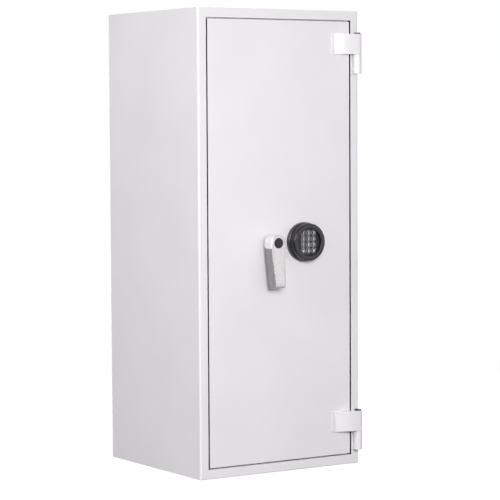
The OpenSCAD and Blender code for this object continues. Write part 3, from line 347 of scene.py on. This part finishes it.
def cableSheath(name, hexCode, shadeCode):
    # extruded PVC: dark and even, slightly waxy.
    # The die marks are about 0.5 mm apart, drawn at 1.5 mm so that they show.
    material, tree, place = startMaterial(name)
    skin = addNode(tree, "TexNoise", {"Vector": place, "Scale": perMetre(1.5), "Detail": 2.0})
    colour = addNode(tree, "Mix", {"Factor": skin, 6: hexCode, 7: shadeCode}, data_type="RGBA")
    shine = addNode(tree, "MapRange", {"Value": skin, **noiseRange, "To Min": 0.4, "To Max": 0.5})
    bump = addNode(tree, "Bump", {"Height": skin, "Distance": 0.02 * mm, "Strength": 0.3})
    return finishMaterial(material, {"Base Color": colour.outputs[2], "Roughness": shine, "IOR": 1.53,
                                     "Normal": bump})


finishes = {                                     # one for each material slot of the frame
    "body_paint": powderCoatedSteel("powderCoatBody", "#E3E1E4", "#DEDCDF"),
    "hinge_paint": powderCoatedSteel("powderCoatHinge", "#E4E2E4", "#E0DEE0", peel=2.2, rough=0.27),
    "inside_paint": powderCoatedSteel("powderCoatInside", "#DDDCDB", "#D6D5D4", peel=3.0, rough=0.48),
    "fire_filling": castFireFilling("castFireFilling", "#A9A59C", "#8C877E"),
    "seal_strip": swellingSeal("swellingSeal", "#3B3937", "#565350"),
    "hardened_steel": blackenedSteel("blackenedSteel", "#57575A", "#2F2E2E"),
    "bright_steel": groundSteel("groundSteelUpright", "#C4C6C9", "#9FA1A4", (0, 0, 1)),
    "zinc_steel": zincPlatedSteel("zincPlatedSteel", "#C3C7CC", "#8E9297"),
    "brass": machinedBrass("machinedBrass", "#D3AC5F", "#A9853F"),
    "die_cast_zinc": dieCastZinc("dieCastZinc", "#A5A6A8", "#8A8A8C"),
    "satin_lever": satinNickel("satinNickel", "#A19D9F", "#9A9698"),
    "black_caps": mouldedAbs("mouldedCap", "#0E0B10", "#131015", rough=0.42, ior=1.42),
    "guide_nylon": castNylon("castNylon", "#E8E2D3", "#D8D2C2"),
    "keypad_shell": mouldedAbs("mouldedAbsShell", "#26222A", "#2F2B33", rough=0.28),
    "keypad_panel": mouldedAbs("mouldedAbsPanel", "#141017", "#1A161D", rough=0.5, ior=1.4),
    "key_plastic": siliconeRubber("siliconeKeys", "#121215", "#3A3A3D"),
    "rubber_mat": siliconeRubber("siliconeMat", "#5A5A5C", "#3A3A3D"),
    "board": epoxyBoard("epoxyBoard", "#1F5B36", "#2F7A4B"),
    "battery_case": mouldedAbs("batteryCase", "#2A2A2C", "#2E2E30", rough=0.3),
    "cable_sheath": cableSheath("cableSheath", "#161616", "#2B2B2B"),
}
# bars that lie another way than their slot's, and the second finish of a piece
barSteel = groundSteel("groundSteelLevel", "#C4C6C9", "#9FA1A4", (1, 0, 0))
spindleSteel = groundSteel("groundSteelSpindle", "#C4C6C9", "#9FA1A4", (0, 1, 0))
# the head's top and sides: bead blasted, and lighter than the bar partly as a painted highlight of light
# falling on the round head from above
blastedHeadAndHighlight = blastedNickel("blastedNickel", "#E4E2E4", "#DDDBDD")
# painted shade: near-black paint for the faces beside the door gap, where shade falls inside the gap
gapShadeFinish = sealCoating("gapShadePaint", "#19191B", "#232326")
housingAbs = mouldedAbs("mouldedAbsHousing", "#120E15", "#17141A", rough=0.26, ior=1.4)
keyInk = printedInk("padPrintedInk", "#FAFAF8", "#E8E8E6")
# light rings around the keys: partly print, partly a painted highlight of each key's moulded edge
ringInkAndHighlight = printedInk("printedRingAndHighlight", "#CECCD2", "#BEBCC2")
ownFinish = {"side_bolts": barSteel, "spindle": spindleSteel, "spindle_sleeve": spindleSteel}


def finishOf(node):
    return ownFinish.get(node, finishes[slotOf[node]])


for nodeName, cadObject in nodes.items():
    cadObject.data.materials.clear()
    cadObject.data.materials.append(finishOf(nodeName))
print("materials made:", len(bpy.data.materials))


def fillet(points, steps=5, closed=False):
    # points are (x, y, radius); each corner with a radius becomes an arc
    line = []
    count = len(points)
    for i, (x, y, radius) in enumerate(points):
        corner = Vector((x, y))
        if radius == 0 or (not closed and i in (0, count - 1)):
            line.append(corner)
            continue
        before = (Vector(points[i - 1][:2]) - corner).normalized()
        after = (Vector(points[(i + 1) % count][:2]) - corner).normalized()
        half = before.angle(after) / 2
        reach = radius / math.tan(half)
        centre = corner + (before + after).normalized() * (radius / math.sin(half))
        first = corner + before * reach - centre
        last = corner + after * reach - centre
        sweep = first.angle_signed(last)
        for k in range(steps + 1):
            turned = first.copy()
            turned.rotate(Matrix.Rotation(-sweep * k / steps, 2))
            line.append(centre + turned)
    return line


def meshFrom(build, name):
    mesh = bpy.data.meshes.new(name)
    build.to_mesh(mesh)
    build.free()
    return mesh


def addPiece(name, mesh, node, finish=None):
    piece = bpy.data.objects.new(name, mesh)
    scene.collection.objects.link(piece)
    piece.data.materials.clear()
    piece.data.materials.append(finish or finishOf(node))
    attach(piece, bodyOf[node])
    return piece


def smoothed(mesh, angle=35):
    mesh.shade_smooth()
    mesh.set_sharp_from_angle(angle=math.radians(angle))
    return mesh


def turnedMesh(name, profile, at, segments=96):
    # profile is (radius, height above the door) from the axis round to the axis, in mm
    build = bmesh.new()
    rings = []
    for radius, height in profile:
        y = at.y - height * mm
        if radius < 1e-4:                                          # a point on the axis
            rings.append([build.verts.new((at.x, y, at.z))])
            continue
        ring = []
        for k in range(segments):
            turn = 2 * math.pi * k / segments
            ring.append(build.verts.new((at.x + radius * mm * math.cos(turn), y,
                                         at.z + radius * mm * math.sin(turn))))
        rings.append(ring)
    for low, high in zip(rings, rings[1:]):
        for k in range(segments):
            corners = [low[k % len(low)], low[(k + 1) % len(low)],
                       high[(k + 1) % len(high)], high[k % len(high)]]
            build.faces.new(list(dict.fromkeys(corners)))          # a triangle at the axis
    if len(rings[0]) > 1 and len(rings[-1]) > 1:                   # clear of the axis, so it closes on itself
        low, high = rings[-1], rings[0]
        for k in range(segments):
            build.faces.new([low[k], low[(k + 1) % segments], high[(k + 1) % segments], high[k]])
    bmesh.ops.recalc_face_normals(build, faces=build.faces)
    return smoothed(meshFrom(build, name))


def cutBy(piece, mesh, operation="DIFFERENCE"):
    tool = bpy.data.objects.new("tool", mesh)
    scene.collection.objects.link(tool)
    change = piece.modifiers.new("change", "BOOLEAN")
    change.operation = operation
    change.object = tool
    change.solver = "EXACT"
    bpy.context.view_layer.update()
    solved = bpy.data.meshes.new_from_object(piece.evaluated_get(bpy.context.evaluated_depsgraph_get()))
    piece.modifiers.clear()
    piece.data = solved
    bpy.data.objects.remove(tool)


softBevel = {"segments": 3, "angle": 40, "weld": 2e-6, "flat": 0.5}    # angles in degrees, weld in metres


def softCopy(node, width):
    # a copy of a CAD node with its sharp edges rounded off
    build = bmesh.new()
    build.from_mesh(nodes[node].data)
    bmesh.ops.remove_doubles(build, verts=build.verts, dist=softBevel["weld"])
    bmesh.ops.dissolve_limit(build, angle_limit=math.radians(softBevel["flat"]), verts=build.verts,
                             edges=build.edges)
    piece = addPiece(node + "Soft", smoothed(meshFrom(build, node + "Soft")), node)
    bevel = piece.modifiers.new("softEdge", "BEVEL")
    bevel.width = width * mm
    bevel.segments = softBevel["segments"]
    bevel.limit_method = "ANGLE"
    bevel.angle_limit = math.radians(softBevel["angle"])
    bevel.harden_normals = True
    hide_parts(node)


# bevel widths in mm, for pieces that come as sharp solids
softEdges = {
    "lower_hinge_pad": 0.9, "upper_hinge_pad": 0.9, "lower_frame_knuckle": 0.8, "upper_frame_knuckle": 0.8,
    "hinge_caps": 0.5, "handle_collar": 0.5, "lever_cap": 0.3, "shelf_clips": 0.5,
    "lower_shelf": 0.7, "middle_shelf": 0.7, "upper_shelf": 0.7,
    "cover_screws": 0.2, "fixed_dogs": 0.4, "rear_cover": 0.5,
}
for nodeName, edgeWidth in softEdges.items():
    softCopy(nodeName, edgeWidth)
print("soft edges:", len(softEdges))

# painted shade: a dark paint lies on the upright faces on both sides of the door gap, where shade falls
shadeBand = {                                     # mm
    "from": 0.2, "to": 16.0,                     # behind the front
    "within": 236.0,                             # out from the middle
    "sideways": 0.4,                             # least share of a shade-painted face's normal along X, no unit
}


def coatedCopy(node, band):
    # a copy of a CAD node with the band of its upright faces beside the gap in dark paint, as painted shade
    build = bmesh.new()
    build.from_mesh(nodes[node].data)
    for depth in (band["from"], band["to"]):
        bmesh.ops.bisect_plane(build, geom=build.verts[:] + build.edges[:] + build.faces[:],
                               plane_co=(0, frontY + depth * mm, 0), plane_no=(0, 1, 0))
    mesh = meshFrom(build, node + "PaintedShade")
    piece = addPiece(node + "PaintedShade", mesh, node)
    mesh.materials.append(gapShadeFinish)
    for face in mesh.polygons:
        depth = (face.center.y - frontY) / mm
        beside = abs(face.normal.x) > band["sideways"] and abs(face.center.x) < band["within"] * mm
        if band["from"] < depth < band["to"] and beside:
            face.material_index = 1
    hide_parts(node)


for nodeName in ("door_plate", "front_frame", "outer_casing"):
    coatedCopy(nodeName, shadeBand)
# the seal coat in the message below is the painted shade beside the door gap
print("seal coat made")

# a head with a round top, and a bar that curves out from the door and narrows to a slanted end
lever = {                                        # mm; heights are measured out from the door
    "headRadius": 21.5, "headDrop": 14.0, "back": 10.0, "front": 46.0, "headEdge": 2.0,
    "neckAt": -6.0, "length": 120.0, "neckHalf": 20.7, "endHalf": 15.5,
    "neckBack": 14.0, "endBack": 24.0, "rise": 9.0, "slant": 7.0, "edge": 1.1, "leastEdge": 0.3,
    "capRadius": 13.6, "capDeep": 2.0, "sharpAngle": 30, "roundSteps": 64, "barSteps": 28, "edgeSteps": 8,
    "blastedHighlightTo": 14.05, "frontFacing": 0.8,      # the lighter blasted finish, partly painted highlight, ends under the head and at its front
}


def lofted(name, rings):
    # rings of points joined in turn, with a flat face at each end
    build = bmesh.new()
    loops = [[build.verts.new(point) for point in ring] for ring in rings]
    for low, high in zip(loops, loops[1:]):
        for k in range(len(low)):
            build.faces.new([low[k - 1], low[k], high[k], high[k - 1]])
    build.faces.new(loops[0])
    build.faces.new(loops[-1])
    bmesh.ops.recalc_face_normals(build, faces=build.faces)
    return meshFrom(build, name)


def quarterTurn(radius, steps=6):                # how far each ring of a round edge is set in and out
    for k in range(steps + 1):
        turn = math.pi / 2 * k / steps
        yield radius * (1 - math.cos(turn)), radius * math.sin(turn)


def headMesh(size):
    r, drop, edge, steps = (size[key] for key in ("headRadius", "headDrop", "headEdge", "roundSteps"))
    rims = [(inset, size["back"] + edge - out) for inset, out in quarterTurn(edge)][::-1]
    rims += [(inset, size["front"] - edge + out) for inset, out in quarterTurn(edge)]
    rings = []
    for inset, depth in rims:
        line = [((r - inset) * math.cos(math.pi * k / steps), (r - inset) * math.sin(math.pi * k / steps))
                for k in range(steps + 1)]
        line = [(r - inset, -drop)] + line + [(inset - r, -drop)]
        rings.append([handleAt + Vector((x, -depth, z)) * mm for x, z in line])
    return lofted("leverHead", rings)


def barRing(size, t, inset=0.0, lower=0.0):      # t runs from 0 at the head to 1 at the end
    ease = t * t * (3 - 2 * t)
    half = size["neckHalf"] + (size["endHalf"] - size["neckHalf"]) * ease - inset
    back = size["neckBack"] + (size["endBack"] - size["neckBack"]) * t * t
    front = size["front"] + size["rise"] * ease
    z = size["neckAt"] - (size["length"] + size["neckAt"] - size["edge"]) * t - lower
    edge = max(size["edge"] - inset, size["leastEdge"])
    low, high = back + inset, front - inset
    corners = [(half, low, edge), (half, high, edge), (-half, high, edge), (-half, low, edge)]
    outline = fillet(corners, steps=size["edgeSteps"], closed=True)
    return [handleAt + Vector((x, -depth, z + size["slant"] * t * (depth - back) / (front - back))) * mm
            for x, depth in outline]


def barMesh(size):
    steps = size["barSteps"]
    rings = [barRing(size, k / steps) for k in range(steps + 1)]
    rings += [barRing(size, 1.0, inset, lower) for inset, lower in list(quarterTurn(size["edge"]))[1:]]
    return lofted("leverBar", rings)


def addLever(size):
    piece = addPiece("leverHandle", headMesh(size), "handle_lever")
    cutBy(piece, barMesh(size), "UNION")
    radius, bottom = size["capRadius"], size["front"] - size["capDeep"]
    past = size["front"] + 1                     # a cut ends 1 mm outside, so that no skin stays
    hole = [(0, bottom), (radius, bottom), (radius, past), (0, past)]
    cutBy(piece, turnedMesh("capHole", hole, handleAt))
    smoothed(piece.data, size["sharpAngle"])
    # the head's top and sides take the lighter blasted finish, partly a painted highlight
    piece.data.materials.append(blastedHeadAndHighlight)
    for face in piece.data.polygons:
        if face.center.z > handleAt.z - size["blastedHighlightTo"] * mm and face.normal.y > -size["frontFacing"]:
            face.material_index = 1
    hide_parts("handle_lever")


addLever(lever)
print("lever made")

# a base ring, a front housing with a recessed face, and printed symbols and light rings for twelve keys, the
# rings partly painted highlight
keypad = {                                       # mm and degrees; heights are measured out from the door
    "baseRadius": 51.25, "baseHigh": 12.0, "baseWall": 8.0, "floor": 2.0,
    "baseInnerEdge": 0.5, "baseEdge": 2.2, "baseFootEdge": 0.3,
    "housingRadius": 48.5, "housingWall": 2.5, "rimHigh": 32.5, "recess": 7.0, "faceRadius": 35.5,
    "housingFootEdge": 0.4, "rimEdge": 3.2, "faceEdge": 1.8, "segments": 144,
    "notchTurn": 48.0, "notchUp": 3.0, "notchSize": (22.0, 8.0, 3.0),
    "digitHigh": 8.8, "digitBold": 0.3, "digitProud": 0.06, "digitDeep": 0.3, "starScale": 1.6,
    "ringInner": 6.2, "ringOuter": 7.0, "ringProud": 0.05, "ringThick": 0.1, "ringSegments": 40,
}


def addKeypadShell(size):
    base, wall, high, floor = (size[key] for key in ("baseRadius", "baseWall", "baseHigh", "floor"))
    inner = base - wall
    ring = fillet([(inner, floor, 0), (inner, high, size["baseInnerEdge"]), (base, high, size["baseEdge"]),
                   (base, 0, size["baseFootEdge"]), (inner, 0, 0)], steps=6)
    addPiece("keypadBaseRing", turnedMesh("keypadBaseRing", ring, keypadAt, size["segments"]), "keypad_base")
    r, thin, rim = size["housingRadius"], size["housingWall"], size["rimHigh"]
    face, top = size["faceRadius"], size["rimHigh"] - size["recess"]
    shell = fillet([(r - thin, high, 0), (r, high, size["housingFootEdge"]), (r, rim, size["rimEdge"]),
                    (face, rim, size["faceEdge"]), (face, top, 0), (r - thin, top, 0)], steps=8)
    shellMesh = turnedMesh("keypadHousing", shell, keypadAt, size["segments"])
    housing = addPiece("keypadHousing", shellMesh, "keypad_housing", housingAbs)
    turn = Matrix.Rotation(math.radians(size["notchTurn"]), 4, "Y")
    place = Matrix.Translation(keypadAt + Vector((0, -(high + size["notchUp"]) * mm, 0))) @ turn
    wide, deep, tall = (side * mm for side in size["notchSize"])
    place = place @ Matrix.Translation((0, 0, -r * mm)) @ Matrix.Diagonal((wide, deep, tall, 1))
    notch = bmesh.new()
    bmesh.ops.create_cube(notch, size=1.0, matrix=place)
    cutBy(housing, meshFrom(notch, "notch"))
    smoothed(housing.data)
    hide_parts("keypad_housing")


def addKeyRing(node, size):
    # a thin light ring on the face around each key, partly print and partly a painted highlight of the key's
    # moulded edge
    at = Vector((middle(node).x, frontY, middle(node).z))
    inner, outer = size["ringInner"], size["ringOuter"]
    top = size["rimHigh"] - size["recess"] + size["ringProud"]
    foot = top - size["ringThick"]
    profile = [(inner, foot), (inner, top), (outer, top), (outer, foot)]
    mesh = turnedMesh("ring_" + node, profile, at, size["ringSegments"])
    addPiece("ring_" + node, mesh, "keypad_face", ringInkAndHighlight)


def addDigit(node, text, size):
    font = bpy.data.curves.new("digit_" + node, "FONT")
    font.body = text
    font.size = size["digitHigh"] * mm * (size["starScale"] if text == "*" else 1.0)
    font.align_x = "CENTER"
    font.align_y = "CENTER"
    font.extrude = size["digitProud"] * mm
    font.offset = size["digitBold"] * mm
    font.resolution_u = 4
    label = bpy.data.objects.new("digit_" + node, font)
    scene.collection.objects.link(label)
    bpy.context.view_layer.update()
    mesh = bpy.data.meshes.new_from_object(label.evaluated_get(bpy.context.evaluated_depsgraph_get()))
    bpy.data.objects.remove(label)
    lowX, highX = min(v.co.x for v in mesh.vertices), max(v.co.x for v in mesh.vertices)
    lowY, highY = min(v.co.y for v in mesh.vertices), max(v.co.y for v in mesh.vertices)
    mesh.transform(Matrix.Translation((-(lowX + highX) / 2, -(lowY + highY) / 2, 0)))
    mesh.transform(Matrix.Rotation(math.pi / 2, 4, "X"))
    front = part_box(node)[0].y + size["digitDeep"] * mm
    mesh.transform(Matrix.Translation((middle(node).x, front, middle(node).z)))
    addPiece("digit_" + node, mesh, node, keyInk)


addKeypadShell(keypad)
for node, text in [(f"key_{n}", str(n)) for n in range(10)] + [("key_star", "*"), ("key_hash", "#")]:
    addDigit(node, text, keypad)
    addKeyRing(node, keypad)
print("keypad made")

# a white studio floor that keeps the shadow, and a white surround for the camera and reflections
stage = {                                        # metres
    "floorHalf": 12.0, "floorColour": "#5C5856", "lift": 0.92, "fadeFrom": 1.0, "fadeTo": 2.6,
    "ambient": 0.28, "ambientColour": "#F4F6FA",
}


def seenDirectly(tree):
    # 1 for rays from the camera, also by a mirror or through glass, and 0 for light that falls on things
    rays = addNode(tree, "LightPath")
    direct = rays.outputs["Is Camera Ray"]
    for name in ("Is Glossy Ray", "Is Transmission Ray"):
        direct = addNode(tree, "Math", {0: direct, 1: rays.outputs[name]}, operation="MAXIMUM")
    return direct


def addSurround(look):
    world = bpy.data.worlds.new("studio")
    scene.world = world
    world.use_nodes = True
    tree = world.node_tree
    tree.nodes.clear()
    soft = addNode(tree, "Background", {"Color": look["ambientColour"], "Strength": look["ambient"]})
    white = addNode(tree, "Background", {"Color": "#FFFFFF", "Strength": 1.0})
    shown = addNode(tree, "MixShader", {0: seenDirectly(tree), 1: soft, 2: white})
    addNode(tree, "OutputWorld", {"Surface": shown})


def studioPaper(look):
    # white paper roll, lit until it burns out: a grey sheet that the camera sees lifted close to white,
    # and fully white farther out, so that only the shadow round the safe shows
    material, tree, place = startMaterial("studioPaper")
    paper = addNode(tree, "BsdfPrincipled", {"Base Color": look["floorColour"], "Roughness": 0.9})
    glow = addNode(tree, "Emission", {"Color": "#FFFFFF", "Strength": look["lift"]})
    lifted = addNode(tree, "AddShader", {0: paper, 1: glow})
    white = addNode(tree, "Emission", {"Color": "#FFFFFF", "Strength": 1.0})
    away = addNode(tree, "VectorMath", {0: place}, operation="LENGTH").outputs["Value"]
    fade = addNode(tree, "MapRange", {"Value": away, "From Min": look["fadeFrom"],
                                      "From Max": look["fadeTo"]}, interpolation_type="SMOOTHSTEP")
    faded = addNode(tree, "MixShader", {0: fade, 1: lifted, 2: white})
    shown = addNode(tree, "MixShader", {0: seenDirectly(tree), 1: paper, 2: faded})
    addNode(tree, "OutputMaterial", {"Surface": shown})
    return material


def addFloor(look):
    half = look["floorHalf"]
    corners = [(x * half, y * half, 0) for x, y in ((-1, -1), (1, -1), (1, 1), (-1, 1))]
    mesh = bpy.data.meshes.new("studioFloor")
    mesh.from_pydata(corners, [], [(0, 1, 2, 3)])
    mesh.materials.append(studioPaper(look))
    floor = bpy.data.objects.new("studioFloor", mesh)
    scene.collection.objects.link(floor)


lamps = {                                        # place, target, width and height in metres; power in watts
    "frontSoftbox": {"place": (-1.25, -3.05, 1.3), "target": (0.25, -0.2, 0.1), "size": (1.1, 0.8),
                     "power": 79.5},
    "wideSoftbox": {"place": (-0.3, -5.6, 1.9), "target": (0.2, -0.2, 0.4), "size": (2.6, 2.0), "power": 10},
    "rightSoftbox": {"place": (2.2, -3.7, 0.9), "target": (0, -0.2, 0.6), "size": (1.3, 1.8), "power": 14},
    "leftSoftbox": {"place": (-3.3, -0.4, 2.0), "target": (-0.2, 0, 1.1), "size": (1.6, 1.6), "power": 62},
    "backSoftbox": {"place": (3.0, 3.6, 2.6), "target": (0, 0, 0.6), "size": (2.0, 2.0), "power": 80},
}


def addLamp(name, look):
    data = bpy.data.lights.new(name, "AREA")
    data.shape = "RECTANGLE"
    data.size, data.size_y = look["size"]
    data.energy = look["power"]
    lamp = bpy.data.objects.new(name, data)
    aim = Vector(look["target"]) - Vector(look["place"])
    lamp.matrix_world = Matrix.Translation(look["place"]) @ aim.to_track_quat("-Z", "Y").to_matrix().to_4x4()
    scene.collection.objects.link(lamp)


addSurround(stage)
addFloor(stage)
for name, look in lamps.items():
    addLamp(name, look)
scene.view_settings.view_transform = "Standard"
print("stage and lamps made")
